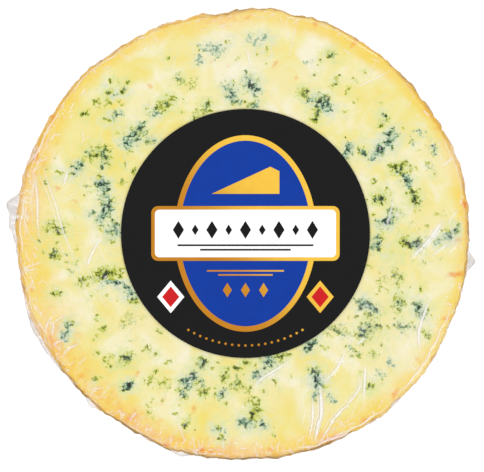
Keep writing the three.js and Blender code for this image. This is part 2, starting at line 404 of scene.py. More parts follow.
def mould_at(points, rows, cracks):
    """How mouldy, how blue, how near to mould and how deep in a crack each point of a face is: 0 to 1."""
    sway = np.stack([lumps(points, 3.0, 11.0), lumps(points, 3.0, 23.0)], axis=1)
    fine = np.stack([lumps(points, 1.2, 31.0), lumps(points, 1.2, 43.0)], axis=1)
    places_on = points[:, :2] + MOULD_SWAY * sway + MOULD_FINE_SWAY * fine
    blob, blue, halo = (np.zeros(len(points)) for _ in range(3))
    for x, y, reach, slant, strength, tint in rows:
        along, across = along_and_across(places_on, x, y, slant)
        here = strength * np.exp(-((along / reach) ** 2) - (across / (0.62 * reach)) ** 2)
        blue = np.where(here > blob, tint, blue)
        blob = np.maximum(blob, here)
        far = (along / (reach + HALO_REACH)) ** 2 + (across / (0.7 * reach + HALO_REACH)) ** 2
        halo = np.maximum(halo, strength * np.exp(-far))
    tree = finder(cracks)
    crack_share = np.zeros(len(points))
    for index in np.nonzero(halo > 0.05)[0]:
        for _, which, away in tree.find_n((*places_on[index], 0), 3):
            _, _, width, force = cracks[which]
            depth = force * (1 - min(max((away - 0.2 * width) / (1.5 * width), 0), 1))
            crack_share[index] = max(crack_share[index], depth)
    return np.minimum(BLOB_SHARE * blob + CRACK_SHARE * crack_share, 1), blue, halo, crack_share


def patches_at(points, rows):
    """How far each point lies in one of the round patches, from 0 to 1."""
    found = np.zeros(len(points))
    for x, y, reach, share in rows:
        found = np.maximum(found, share * np.exp(-((away_from(points, x, y) / reach) ** 2)))
    return found


def streaks_at(points):
    """How far each point lies in an orange streak, from 0 to 1."""
    found = np.zeros(len(points))
    for x, y, heading, length, strength in ORANGE_STREAKS:
        along, across = along_and_across(points[:, :2], x, y, heading)
        here = np.exp(-((1.7 * along / length) ** 2) - (across / (0.5 + 0.14 * length)) ** 2)
        found = np.maximum(found, strength * here)
    return found


draw = random.Random(41)
upper_rows = list(VEINS)
for _ in range(UPPER_SPECKS):
    near = VEINS[draw.randrange(len(VEINS))]
    spot = (near[0] + draw.gauss(0, 6.5), near[1] + draw.gauss(0, 6.5))
    if LABEL_RADIUS < math.hypot(*spot) < ROUND_RADIUS - 9:
        size, strength = draw.uniform(0.6, 1.6), draw.uniform(0.3, 0.75)
        upper_rows.append((*spot, size, draw.uniform(-90, 90), strength, draw.uniform(0, 0.3)))
upper_cracks = cracks_of(upper_rows, draw)
base_rows = []
for _ in range(BASE_VEINS):
    far, way = 86 * math.sqrt(draw.random()), draw.uniform(0, math.tau)
    spot = onward((0, 0), way, far)
    size, strength = draw.uniform(1.5, 6), draw.uniform(0.45, 1.0)
    base_rows.append((*spot, size, draw.uniform(-90, 90), strength, draw.random()))
base_cracks = cracks_of(base_rows, draw)


def tone(red, green, blue):
    """A colour given as it looks on screen, from 0 to 255, as a shader's linear colour."""
    shares = [value / 255 for value in (red, green, blue)]
    return (*[s / 12.92 if s <= 0.04045 else ((s + 0.055) / 1.055) ** 2.4 for s in shares], 1.0)


def node(tree, kind, sockets=None, **settings):
    """A shader node whose sockets are set to values, or linked where a socket is given."""
    made = tree.nodes.new(kind)
    for name, value in settings.items():
        setattr(made, name, value)
    for key, value in (sockets or {}).items():
        if isinstance(value, bpy.types.NodeSocket):
            tree.links.new(value, made.inputs[key])
        else:
            made.inputs[key].default_value = value
    return made


def material_tree(name):
    """A new material and its empty node tree."""
    made = bpy.data.materials.new(name)
    made.use_nodes = True
    made.node_tree.nodes.clear()
    return made, made.node_tree


def surfaced(tree, shader):
    """Makes this shader the look of the surface."""
    node(tree, "ShaderNodeOutputMaterial", {"Surface": shader.outputs[0]})


def kept_value(tree, name):
    """The number that a mesh keeps at each vertex under this name."""
    return node(tree, "ShaderNodeAttribute", attribute_name=name).outputs["Fac"]


def maths(tree, operation, first, second=0.0, clamp=False):
    """One sum of two numbers or sockets."""
    sockets = {0: first, 1: second}
    return node(tree, "ShaderNodeMath", sockets, operation=operation, use_clamp=clamp).outputs[0]


def times(tree, first, second):
    """The product of two numbers or sockets."""
    return maths(tree, "MULTIPLY", first, second)


def plus(tree, first, second):
    """The sum of two numbers or sockets."""
    return maths(tree, "ADD", first, second)


def grain(tree, place, size, detail=3.0, roughness=0.55, distortion=0.0):
    """Noise over the surface with features about size mm across, from 0 to 1."""
    sockets = {
        "Vector": place, "Scale": 1 / (size * MM), "Detail": detail,
        "Roughness": roughness, "Distortion": distortion,
    }
    return node(tree, "ShaderNodeTexNoise", sockets).outputs["Fac"]


def swing(tree, place, size, by, detail=3.0, roughness=0.55):
    """Noise with features about size mm across, from about -by/2 to by/2."""
    return times(tree, maths(tree, "SUBTRACT", grain(tree, place, size, detail, roughness), 0.5), by)


def cell_gaps(tree, place, size, wave, by):
    """Distance to the gaps between cells about size mm across, moved by up to by/2 mm in waves."""
    sway = node(tree, "ShaderNodeTexNoise", {"Vector": place, "Scale": 1 / (wave * MM)}).outputs["Color"]
    sockets = {0: sway, 1: (by * MM,) * 3, 2: place}
    swayed = node(tree, "ShaderNodeVectorMath", sockets, operation="MULTIPLY_ADD").outputs[0]
    sockets = {"Vector": swayed, "Scale": 1 / (size * MM)}
    return node(tree, "ShaderNodeTexVoronoi", sockets, feature="DISTANCE_TO_EDGE").outputs["Distance"]


def step(tree, value, low, high):
    """A smooth step of a socket from 0 at low to 1 at high."""
    sockets = {"Value": value, "From Min": low, "From Max": high}
    return node(tree, "ShaderNodeMapRange", sockets, interpolation_type="SMOOTHSTEP").outputs[0]


def blended(tree, share, first, second, blend="MIX"):
    """Two colours mixed by a share."""
    sockets = {0: share, 6: first, 7: second}
    return node(tree, "ShaderNodeMix", sockets, data_type="RGBA", blend_type=blend).outputs[2]


def stained(tree, place, colour, value, swings, reach, share, stain, blend="MIX"):
    """A colour stained where a value is high, up to an edge that noise breaks up."""
    shown = step(tree, plus(tree, value, swing(tree, place, *swings)), *reach)
    return blended(tree, times(tree, shown, share), colour, stain, blend)


def ramp(tree, value, *stops):
    """A colour for each value, from rows of a value and a tone."""
    made = node(tree, "ShaderNodeValToRGB", {"Fac": value})
    elements = made.color_ramp.elements
    while len(elements) < len(stops):
        elements.new(1.0)
    for element, (at, *colour) in zip(elements, stops):
        element.position = at
        element.color = tone(*colour)
    return made.outputs["Color"]


def paste_colour(tree, place):
    """Cream, with paler curds, warmer and blushed towards the rind, and greenish round the mould."""
    edge, halo, blue, blush, brim, pale, streak, mould = (
        kept_value(tree, name)
        for name in ("edge", "halo", "blue", "blush", "brim", "pale", "streak", "mould")
    )
    curds = grain(tree, place, 15, 4, 0.5, 0.6)
    paste = ramp(tree, curds, (0.3, 241, 222, 112), (0.5, 241, 230, 156), (0.68, 246, 239, 206))
    paste = stained(tree, place, paste, edge, (9, 0.9), (0.2, 1.05), 0.85, tone(245, 212, 84))
    flush = times(tree, edge, blush)
    paste = stained(tree, place, paste, flush, (3, 1.3, 4), (0.4, 1), 0.75, tone(242, 182, 76))
    under_rind = times(tree, brim, plus(tree, blush, 0.6))
    paste = stained(tree, place, paste, under_rind, (2.2, 1), (0.35, 1.15), 0.8, tone(228, 172, 34))
    cloudy = plus(tree, times(tree, grain(tree, place, 4, 4, 0.6, 0.6), 1.2), 0.3)
    paste = blended(tree, times(tree, pale, cloudy), paste, tone(250, 246, 236))
    paste = stained(tree, place, paste, streak, (1.4, 0.9, 4), (0.15, 1), 1, tone(250, 165, 70), "MULTIPLY")
    paste = stained(tree, place, paste, halo, (2.4, 1.5, 4), (0.3, 1.1), 0.8, tone(217, 226, 158))
    bluing = times(tree, halo, blue)
    paste = stained(tree, place, paste, bluing, (1.8, 1.1), (0.25, 0.9), 0.7, tone(222, 226, 204))
    smudge = blended(tree, blue, tone(190, 200, 92), tone(174, 192, 160))
    return stained(tree, place, paste, mould, (1.3, 0.9), (0.12, 0.85), 0.6, smudge)


def mould_colour(tree, place):
    """How much mould shows, and its colour: olive at its thin edges, blue green to near black within."""
    mould, blue, split = kept_value(tree, "mould"), kept_value(tree, "blue"), kept_value(tree, "split")
    gaps = cell_gaps(tree, place, 2.3, 1.6, 2.6)
    between = maths(tree, "SUBTRACT", 0.55, step(tree, gaps, 0.0, 0.34))
    amount = plus(tree, swing(tree, place, 0.9, 1.25, 3, 0.62), swing(tree, place, 2.6, 1.5, 2))
    amount = plus(tree, plus(tree, times(tree, between, 0.38), times(tree, split, 0.32)), amount)
    amount = plus(tree, times(tree, mould, 0.5), amount)
    olive = ramp(
        tree, amount, (0.18, 224, 226, 134), (0.48, 188, 195, 62),
        (0.74, 112, 130, 12), (0.92, 34, 42, 0),
    )
    slate = ramp(
        tree, amount, (0.18, 216, 227, 200), (0.48, 168, 196, 160),
        (0.74, 76, 118, 84), (0.91, 6, 26, 14),
    )
    patchy = plus(tree, times(tree, blue, 0.75), swing(tree, place, 4, 1.0, 2))
    inward = step(tree, plus(tree, times(tree, mould, 0.45), patchy), 0.4, 0.95)
    colour = blended(tree, inward, olive, slate)
    shown = times(tree, step(tree, amount, 0.14, 0.52), step(tree, mould, 0.03, 0.25))
    return shown, colour, amount


def crust_colour(tree, place):
    """Tan and brown rind, with a pale bloom in patches and dark cracks in a network over it."""
    patches = grain(tree, place, 13, 5, 0.6, 0.8)
    crust = ramp(
        tree, patches, (0.3, 128, 84, 44), (0.43, 178, 126, 70),
        (0.55, 208, 160, 98), (0.7, 222, 192, 142),
    )
    bloom = step(tree, grain(tree, place, 3.2, 6, 0.75, 0.5), 0.5, 0.7)
    crust = blended(tree, times(tree, bloom, 0.55), crust, tone(228, 214, 186))
    crack = maths(tree, "SUBTRACT", 1.0, step(tree, cell_gaps(tree, place, 7.5, 5, 9), 0.0, 0.1))
    crack = times(tree, crack, step(tree, grain(tree, place, 9, 2), 0.42, 0.6))
    crust = blended(tree, times(tree, crack, 0.55), crust, tone(96, 60, 34))
    lip = kept_value(tree, "lip")
    lip_colour = ramp(tree, lip, (0.5, 216, 168, 60), (1.0, 112, 74, 4))
    crust = stained(tree, place, crust, lip, (3, 0.9), (0.1, 0.55), 1, lip_colour)
    return blended(tree, kept_value(tree, "pit"), crust, tone(58, 38, 26)), crack


def cheese_material():
    """Creamy paste, olive to slate blue mould in its cracks, and a brown crusty rind."""
    material, tree = material_tree("stilton")
    place = node(tree, "ShaderNodeTexCoord").outputs["Object"]
    rind = kept_value(tree, "rind")
    shown, mould, amount = mould_colour(tree, place)
    cut_face = blended(tree, shown, paste_colour(tree, place), mould)
    crust, crack = crust_colour(tree, place)
    colour = stained(tree, place, cut_face, rind, (1.6, 0.6), (0.38, 0.62), 1, crust)
    holes = times(tree, times(tree, shown, step(tree, amount, 0.4, 1.0)), -1.2)
    relief = plus(tree, grain(tree, place, 1.1, 5, 0.7), holes)
    relief = plus(tree, relief, times(tree, times(tree, crack, rind), -0.8))
    bump = node(tree, "ShaderNodeBump", {"Height": relief, "Strength": 0.4, "Distance": 0.5 * MM})
    rough = plus(tree, times(tree, rind, 0.3), 0.5)
    surface = node(tree, "ShaderNodeBsdfPrincipled", {
        "Base Color": colour, "Roughness": rough, "Normal": bump.outputs[0],
        "Subsurface Weight": 0.1, "Subsurface Radius": (1.0, 0.8, 0.4), "Subsurface Scale": 1.6 * MM,
        "Specular IOR Level": 0.3,
    })
    surfaced(tree, surface)
    return material


def make_cheese():
    """The slice as one closed mesh, finer where mould opens its upper face."""
    form = turned(slice_profile(FILM_GAP, 34, 26, 3, 46), STEPS)
    tree = finder(upper_cracks)

    def near_mould(centres):
        radius, _, height = round_axis(centres)
        open_face = (height > ROUND_HEIGHT - 1) & (radius > LABEL_RADIUS - 3)
        return [ok and tree.find((x, y, 0))[2] < 1.5 for ok, (x, y, _) in zip(open_face, centres)]

    refine(form, near_mould)
    plain = places(form)
    radius, turn, height = round_axis(plain)
    upper = height > ROUND_HEIGHT / 2
    flat = radius < ROUND_RADIUS - RIM_RADIUS
    mould, blue, halo, split, pit = (np.zeros(len(plain)) for _ in range(5))
    faces = (
        (upper & flat & (radius > LABEL_RADIUS - 4), upper_rows, upper_cracks),
        (~upper & flat & (height < 1), base_rows, base_cracks),
    )
    for side, rows, cracks in faces:
        which = np.nonzero(side)[0]
        mould[which], blue[which], halo[which], split[which] = mould_at(plain[which], rows, cracks)
    halo = np.maximum(halo, patches_at(plain, GREEN_PATCHES) * upper)
    to_rim = ROUND_RADIUS - radius
    dark_lip = np.clip(humps(turn, DARK_LIPS), 0, 1)
    upper_rind = 1 - smooth(0.9 * dark_lip, 1.0 + 0.9 * dark_lip, to_rim)
    rind = np.where(upper, upper_rind, 1 - smooth(2.2, 3.8, to_rim))
    edge = 1 - smooth(1.5, EDGE_REACH + humps(turn, WARM_REACHES), to_rim)
    brim = 1 - smooth(0.8, 3.6, to_rim)
    blush = np.clip(0.35 + humps(turn, RIM_BLUSHES), 0, 1)
    mould *= 1 - rind

    wall = on_side(radius)
    wrinkles = crumbs(plain * np.array((1, 1, 0.8)), 5.0, 2.0)
    folds = np.abs(lumps(plain * np.array((1, 1, 0.45)), 6.5, 8.0))
    for row in NEEDLE_ROWS:
        for index in range(NEEDLE_HOLES):
            at = 360 * (index + 0.35 * math.sin(index * 2.3 + row)) / NEEDLE_HOLES
            across = np.radians((turn - at + 180) % 360 - 180) * radius
            away = np.hypot(across, height - row - 1.6 * math.sin(index * 1.7))
            pit = np.maximum(pit, wall * (1 - smooth(HOLE_RADIUS, HOLE_EDGE, away)))
    creased = np.maximum(FOLD_SHARE - folds, 0) / FOLD_SHARE
    sink = wall * (WRINKLE_DEPTH * (wrinkles - 0.2) + FOLD_DEPTH * creased + HOLE_DEPTH * pit)
    points = pushed_out(skin(plain), radius, -sink)
    facing = np.where(upper, 1.0, -1.0) * flat
    openings = VEIN_DEPTH + VEIN_DEPTH_SWING * np.abs(lumps(plain, 1.7, 5.0))
    openings *= smooth(0.4, 0.95, mould)
    points[:, 2] -= facing * (openings + CRUMB_RELIEF * crumbs(plain, 4.0, 9.0))
    lip = smooth(ROUND_HEIGHT - 4.8, ROUND_HEIGHT - 2.2, height) * (1 - smooth(0.6, 2.4, to_rim))
    lip *= 0.5 + 0.5 * dark_lip
    values = {
        "mould": mould, "blue": blue, "halo": halo, "split": split,
        "edge": edge, "brim": brim, "blush": blush, "streak": streaks_at(plain) * upper,
        "pale": patches_at(plain, PALE_PATCHES) * upper,
        "rind": rind, "pit": pit, "lip": lip,
    }
    made = finished(form, points, "stilton", cheese_material(), values)
    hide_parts("wrapped_cheese")


make_cheese()

# The film
# Clear shrink film, drawn tight over the round. It bridges the open veins, and pulls into white
# creases that run to the two ears of its seam, and into fine puckers round the rim. Their white is
# partly the film's own whitening and partly painted highlights.
FILM_STEPS = 350
CREASE_WIDTH = 0.5
CREASE_HEIGHT = 0.42
FINER_BANDS = (1.4, 0.75)  # the mesh is made finer this near to a crease, and again this near
MARK_STEP = 0.25
PLEAT_DEPTH, PUCKER_DEPTH = 0.9, 0.45
FILM_IOR = 1.5
SHINE_LOST, MOST_SHINE = 0.03, 0.35
PALE_MILK, MOST_MILK = 0.3, 0.9

# Each long crease on the upper face: its weight and the points in mm that it runs through.
CREASES = (
    # towards the right ear
    (1.5, (88, 6), (82, -3), (74, -11)), (1.0, (89, 5), (79, -8)), (0.8, (95, 11), (93, 9), (90, 4)),
    (0.7, (95, -4), (90, -9)), (0.9, (90, -4), (83, -10)), (0.9, (66, 17), (66, 12), (63, 2)),
    (0.6, (76, 14), (73, 9)), (1.2, (83, -27), (79, -38), (77, -44), (78, -51)),
    (0.7, (93, -21), (91, -24)), (0.9, (88, 30), (91, 33), (93, 33)), (0.5, (58, 33), (57, 30)),
    (0.6, (53, 29), (52, 25)), (0.5, (84, 39), (82, 36)), (0.5, (74, 59), (73, 55)),
    # the lower right
    (1.3, (45, -51), (44, -54), (41, -60), (36, -65)),
    (1.6, (51, -62), (52, -67), (46, -75), (41, -80), (37, -86), (34, -92)), (1.2, (54, -57), (53, -72)),
    (2.0, (34, -67), (35, -78), (33, -84), (32, -91)), (1.2, (31, -72), (31, -82), (29, -90)),
    (1.0, (54, -45), (50, -49)),
    # the foot
    (1.1, (21, -55), (16, -59), (9, -63), (6, -66), (5, -69)), (0.8, (15, -61), (10, -64)),
    (0.8, (-8, -89), (-9, -96)), (0.6, (-2, -89), (-4, -93)), (0.7, (28, -88), (24, -92)),
    (0.5, (28, -62), (26, -65)), (0.6, (28, -76), (26, -84)),
    # towards the left ear
    (1.1, (-77, 28), (-79, 21)), (1.0, (-92, 29), (-90.5, 19), (-90, 8), (-89.5, -2)),
    (0.9, (-87.5, 29), (-84.6, 19), (-81.6, 11), (-78, -2), (-74, -10)), (0.6, (-96, 12), (-94, 5)),
    (0.6, (-90, 28), (-86.7, 20), (-83, 10), (-80.6, 1)), (0.8, (-97, 16), (-95.8, 6), (-93.3, -2)),
    (1.3, (-62, -1), (-66, -7), (-68, -12), (-69, -15)), (0.5, (-82, -1), (-77, -12), (-72, -24)),
    (0.8, (-97, -15), (-88, -12)), (0.8, (-96, -16), (-90, -15)), (0.6, (-91, -22), (-87, -20)),
    (0.9, (-96, 29), (-92, 35), (-88, 40)), (0.7, (-71, 46), (-70, 42), (-71, 40)),
    (0.5, (-67, 44), (-71, 41)), (0.45, (-85, 25), (-81, 12), (-76, -1)),
    (0.4, (-76, 27), (-71, 12), (-66, -4), (-60, -21)), (0.45, (-71, -9), (-64, -24), (-58, -37)),
    (0.4, (-94, 24), (-92.6, 13), (-92, 2)), (0.4, (-78, -3), (-73, -15), (-67, -30)),
    (0.45, (-66, 2), (-62, -10), (-60, -16)),
    # the lower left
    (0.9, (-83, -35), (-86, -39), (-87, -43)), (0.8, (-78, -35), (-82, -38), (-85, -40)),
    (1.1, (-83, -38), (-84, -45)), (0.8, (-79, -46), (-84, -49)), (0.9, (-72, -48), (-78, -51), (-80, -55)),
    (0.6, (-69, -54), (-73, -58)), (0.7, (-93, -27), (-94, -32)), (0.7, (-57, -51), (-55, -55)),
    # the top
    (0.9, (2, 82), (4, 73)), (0.5, (-2, 77), (-1, 74)), (0.5, (-30, 78), (-31, 73)),
    (0.6, (36, 80), (35, 76)), (0.5, (-51, 33), (-51, 29)),
)

# Short puckers at the rim: from and to which turn in degrees, how many, the share that point inwards.
PUCKERS = (
    (212, 302, 190, 0.8), (302, 500, 110, 0.4), (140, 212, 110, 0.3),
)

# Fine creases that run to a point: its x and y in mm, from and to which turn in degrees, how many.
FANS = (
    (-97, 3, 148, 216, 60), (98, -12, -48, 28, 40), (33, -95, 276, 314, 34),
)

# Creases that run along the rim: how far out in mm, from and to which turn in degrees, how heavy.
RIM_CREASES = (
    (97.9, 283, 312, 1.3), (97.2, 314, 343, 1.2), (98.2, 118, 147, 0.6), (97.6, 146, 166, 0.9),
    (95.6, 150, 171, 0.6), (97.4, 170, 187, 1.0), (93.8, 160, 176, 0.5), (98.1, 188, 204, 0.6),
    (97.8, 3, 30, 0.5), (98.2, 60, 84, 0.4), (97.9, 236, 262, 0.4), (96.8, 320, 334, 0.4),
)

# Where the film is crumpled at the rim, and so how much it shows white flecks, painted glints on its small
# folds: degrees, half width, how much.
CRUMPLES = (
    (176, 16, 0.45), (203, 10, 0.4), (238, 7, 0.25), (262, 6, 0.25), (296, 6, 0.2), (130, 10, 0.2),
    (20, 40, -0.2),
)


def film_material(name, milk_colour):
    """Clear plastic that shines, turned white where it stands off, and along its creases partly by its own
    whitening and partly by painted highlights; the white flecks at its rim are painted glints.
    """
    material, tree = material_tree(name)
    place = node(tree, "ShaderNodeTexCoord").outputs["Object"]
    bump = node(tree, "ShaderNodeBump", {
        "Height": grain(tree, place, 2.8, 2, 0.5, 0.3), "Strength": 0.2, "Distance": 0.25 * MM,
    })
    bend = node(tree, "ShaderNodeFresnel", {"IOR": FILM_IOR, "Normal": bump.outputs[0]})
    outside = maths(tree, "SUBTRACT", 1.0, node(tree, "ShaderNodeNewGeometry").outputs["Backfacing"])
    clear = node(tree, "ShaderNodeBsdfTransparent", {"Color": (0.985, 0.985, 0.985, 1)})
    gloss = node(tree, "ShaderNodeBsdfGlossy", {
        "Color": (1, 1, 1, 1), "Roughness": 0.14, "Normal": bump.outputs[0],
    })
    glance = maths(tree, "SUBTRACT", times(tree, bend.outputs[0], 1.3), SHINE_LOST, clamp=True)
    shine = times(tree, maths(tree, "MINIMUM", glance, MOST_SHINE), outside)
    film = node(tree, "ShaderNodeMixShader", {0: shine, 1: clear.outputs[0], 2: gloss.outputs[0]})
    milk = node(tree, "ShaderNodeBsdfDiffuse", {"Color": milk_colour})
    streaks = plus(tree, times(tree, grain(tree, place, 1.4, 4, 0.6, 0.5), 0.8), 0.6)
    around = node(tree, "ShaderNodeAttribute", attribute_name="around").outputs["Vector"]
    # The rim flecks are painted glints. The kept milk holds the film's own whitening and, along its creases,
    # painted highlights too.
    painted_glint_fleck = step(tree, grain(tree, around, 1.0, 3, 0.6, 0.8), 0.52, 0.66)
    painted_glint_flecks = times(tree, painted_glint_fleck, kept_value(tree, "rim"))
    milk_and_painted_glints = plus(tree, times(tree, kept_value(tree, "milk"), streaks), times(tree, painted_glint_flecks, 0.8))
    milk_and_painted_glints = maths(tree, "MINIMUM", milk_and_painted_glints, MOST_MILK)
    whole = node(tree, "ShaderNodeMixShader", {0: milk_and_painted_glints, 1: film.outputs[0], 2: milk.outputs[0]})
    surfaced(tree, whole)
    return material


def rounded(route):
    """A route with its corners cut twice."""
    for _ in range(2):
        cut = [route[0]]
        for (x0, y0), (x1, y1) in zip(route, route[1:]):
            cut.append((0.75 * x0 + 0.25 * x1, 0.75 * y0 + 0.25 * y1))
            cut.append((0.25 * x0 + 0.75 * x1, 0.25 * y0 + 0.75 * y1))
        route = [*cut, route[-1]]
    return route


def along_route(route, weight, width):
    """Marks close together along a route that fade at both its ends: place, height, half width."""
    marks = []
    for (x0, y0), (x1, y1) in zip(route, route[1:]):
        count = max(int(math.hypot(x1 - x0, y1 - y0) / MARK_STEP), 1)
        marks += [(x0 + (x1 - x0) * i / count, y0 + (y1 - y0) * i / count) for i in range(count)]
    last = max(len(marks) - 1, 1)
    faded = [min(1, 4 * i / last, 4 * (last - i) / last) for i in range(len(marks))]
    return [(*mark, weight * (0.3 + 0.7 * fade), width) for mark, fade in zip(marks, faded)]


def short_crease(start, heading, length, weight, width):
    """The marks of one straight crease."""
    return along_route([start, onward(start, heading, length)], weight, width)


def crease_marks():
    """The marks of every crease and pucker."""
    marks = []
    for weight, *route in CREASES:
        marks += along_route(rounded(route), weight, CREASE_WIDTH * (0.6 + 0.5 * weight))
        if weight > 1:
            (x0, y0), (x1, y1) = route[0], route[-1]
            away = 1.3 / math.hypot(x1 - x0, y1 - y0)
            beside = [(x + (y1 - y0) * away, y - (x1 - x0) * away) for x, y in route]
            marks += along_route(rounded(beside), 0.55 * weight, 0.6 * CREASE_WIDTH)
    for far, start_turn, end_turn, weight in RIM_CREASES:
        ways = [math.radians(way) for way in evenly(start_turn, end_turn, (end_turn - start_turn) // 2)]
        route = [onward((0, 0), way, far + draw.gauss(0, 0.35)) for way in ways]
        marks += along_route(rounded(route), weight, 0.7 * CREASE_WIDTH)
    for to_x, to_y, start_turn, end_turn, count in FANS:
        for _ in range(count):
            way = math.radians(draw.uniform(start_turn, end_turn))
            start = onward((0, 0), way, draw.uniform(62, 95))
            heading = math.atan2(to_y - start[1], to_x - start[0]) + draw.gauss(0, 0.2)
            length = min(draw.uniform(4, 18), math.hypot(to_x - start[0], to_y - start[1]) - 2)
            if length > 2 and math.hypot(*onward(start, heading, length)) < ROUND_RADIUS - 2:
                weight, width = draw.uniform(0.2, 0.5), draw.uniform(0.24, 0.36)
                marks += short_crease(start, heading, length, weight, width)
    for start_turn, end_turn, count, inward_share in PUCKERS:
        for _ in range(count):
            way = math.radians(draw.uniform(start_turn, end_turn))
            inward = draw.random() < inward_share
            far = ROUND_RADIUS - draw.uniform(0.8, 5 if inward else 8)
            length = 1.2 + draw.expovariate(0.4) if inward else draw.uniform(1.5, 4.5)
            heading = way + (math.pi if inward else math.pi / 2) + draw.gauss(0, 0.35)
            weight, width = draw.uniform(0.3, 1.0), draw.uniform(0.22, 0.4)
            marks += short_crease(onward((0, 0), way, far), heading, length, weight, width)
    # Short creases where the film bridges the stronger veins: their small lift catches the lamps, and their
    # white is painted glints.
    for x, y, reach, slant, strength, _ in VEINS:
        if draw.random() < 0.6 * strength:
            heading, length = math.radians(slant + draw.gauss(0, 35)), draw.uniform(0.8, 2.4)
            start = (x + 0.4 * reach * draw.gauss(0, 1), y + 0.4 * reach * draw.gauss(0, 1))
            weight, width = draw.uniform(0.5, 1.0), draw.uniform(0.28, 0.42)
            marks += short_crease(start, heading, length, weight, width)
    return marks


def make_film():
    """The film as one closed skin round the slice, finer along its creases."""
    form = turned(slice_profile(0.0, 18, 26, 2, 42), FILM_STEPS)
    marks = crease_marks()
    tree = finder(marks)
    for band in FINER_BANDS:
        refine(form, lambda centres: [
            z > ROUND_HEIGHT - 1 and tree.find((x, y, 0))[2] < band for x, y, z in centres
        ])
    plain = places(form)
    radius, turn, height = round_axis(plain)
    upper = height > ROUND_HEIGHT - RIM_RADIUS
    crease_white_and_glint, lift = (np.zeros(len(plain)) for _ in range(2))
    clear_of_label = smooth(LABEL_RADIUS, LABEL_RADIUS + 1.5, away_from(plain, *LABEL_CENTRE))
    for index in np.nonzero(upper & (clear_of_label > 0))[0]:
        for _, which, away in tree.find_n((plain[index, 0], plain[index, 1], 0), 2):
            _, _, weight, width = marks[which]
            here = weight * math.exp(-((away / width) ** 2)) * clear_of_label[index]
            crease_white_and_glint[index] = max(crease_white_and_glint[index], here)
            lift[index] = max(lift[index], here * min(width / CREASE_WIDTH, 1) ** 2)
    wall = on_side(radius)
    up = height / ROUND_HEIGHT
    pleats = np.maximum(lumps(np.stack([turn * 1.9, height * 0.16, height * 0], axis=1), 3.0, 3.0), 0)
    puckers = np.maximum(lumps(np.stack([turn * 2.6, height * 0.5, height * 0], axis=1), 3.4, 7.0), 0)
    pull = wall * (PLEAT_DEPTH * pleats * np.sin(math.pi * up) + PUCKER_DEPTH * puckers)
    points = pushed_out(skin(plain), radius, pull)
    points[:, 2] += CREASE_HEIGHT * lift * upper * (1 - wall)
    dark_lip = np.clip(humps(turn, DARK_LIPS), 0, 1) * (height > ROUND_HEIGHT - 8)
    # White along the creases and the side's pleats and puckers: partly the film's own whitening, partly
    # painted highlights.
    creased = 0.75 * np.minimum(crease_white_and_glint, 1) ** 1.3 + wall * (0.16 - 0.13 * dark_lip) * (pleats + puckers)
    milk = np.minimum(PALE_MILK * upper * patches_at(plain, PALE_PATCHES) + creased, MOST_MILK)
    # How much white flecks show at the rim: painted glints on the crumpled film, held back where the lip is
    # dark.
    crumple_glints = np.clip(0.4 + humps(turn, CRUMPLES), 0, 1)
    rim = upper * crumple_glints * smooth(ROUND_RADIUS - 3 - 7 * crumple_glints, ROUND_RADIUS - 0.5, radius)
    rim *= 1 - dark_lip * smooth(ROUND_RADIUS - 1.6, ROUND_RADIUS - 0.4, radius)
    clear_film = film_material("clear_film", (0.97, 0.95, 0.93, 1))
    made = finished(form, points, "film", clear_film, {"milk": milk, "rim": rim})
    ring = np.radians(turn)
    around = np.stack([20 * np.cos(ring), 20 * np.sin(ring), radius + ROUND_HEIGHT - height], axis=1) * MM
    kept = made.data.attributes.new("around", "FLOAT_VECTOR", "POINT")
    kept.data.foreach_set("vector", np.asarray(around, np.float32).ravel())
    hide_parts("wrapped_cheese")


make_film()

# The film's seam
# The film is welded round the front of the side, where two layers make a thin wavy fin. At its two
# ends the corners of the film stand out as ears, and between them a loose fringe does.
SEAM_HEIGHT = 36.0
SEAM_REACH = 1.3
SEAM_START, SEAM_END = 158.0, 372.0
SEAM_STEPS, SEAM_ACROSS = 700, 10
SEAM_THICKNESS = 0.16
SEAM_WAVES = 18
SEAM_WAVE, SEAM_RIPPLE, SEAM_FINE_RIPPLE = 1.4, 1.1, 0.45
SEAM_FLAPS = (
    (172.4, 2.2, 4.6), (177, 4, 3.0), (207, 10, 1.9), (228.5, 1.6, 1.9), (254, 2.6, 1.9), (353.3, 2.1, 3.5),
)


def make_seam():
    """A strip bent round the side, rippled towards its free edge, as thick as its two layers."""
    form = bmesh.new()
    bmesh.ops.create_grid(form, x_segments=SEAM_STEPS, y_segments=SEAM_ACROSS, size=0.5)
    flat = places(form)
    along, outward = flat[:, 0] + 0.5, flat[:, 1] + 0.5
    turn = SEAM_START + (SEAM_END - SEAM_START) * along
    ends = smooth(0, 0.02, 0.5 - np.abs(along - 0.5))
    still = turn * 0
    ragged = 0.5 * lumps(np.stack([turn, still, still], axis=1), 2.5, 1.0)
    ragged += 0.35 * lumps(np.stack([turn, still, still], axis=1), 0.9, 5.0)
    reach = ends * (SEAM_REACH + ragged + humps(turn, SEAM_FLAPS))
    foot = ROUND_RADIUS + humps(turn, RIND_LOBES) + 0.1
    radius = foot + outward * (SIDE_BULGE + reach)
    ripple = SEAM_RIPPLE * lumps(np.stack([turn * 1.1, outward * 0.8, still], axis=1), 3.0, 2.0)
    ripple += SEAM_FINE_RIPPLE * lumps(np.stack([turn * 1.1, outward * 2.0, still], axis=1), 1.1, 6.0)
    wave = SEAM_WAVE * outward * np.sin(math.radians(SEAM_WAVES) * turn)
    height = SEAM_HEIGHT + ripple * outward * (1 + 0.12 * reach) + wave
    ring = np.radians(turn)
    points = np.stack([radius * np.cos(ring), radius * np.sin(ring), height], axis=1)
    milk = 0.25 + 0.35 * np.abs(ripple) + 0.3 * smooth(0.86, 1.0, outward)
    welded_film = film_material("welded_film", (0.74, 0.75, 0.77, 1))
    made = finished(form, points, "film_seam", welded_film, {"milk": milk})
    thick = made.modifiers.new("two layers", "SOLIDIFY")
    thick.thickness = SEAM_THICKNESS * MM
    thick.offset = 0.0
    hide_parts("wrapped_cheese")


make_seam()

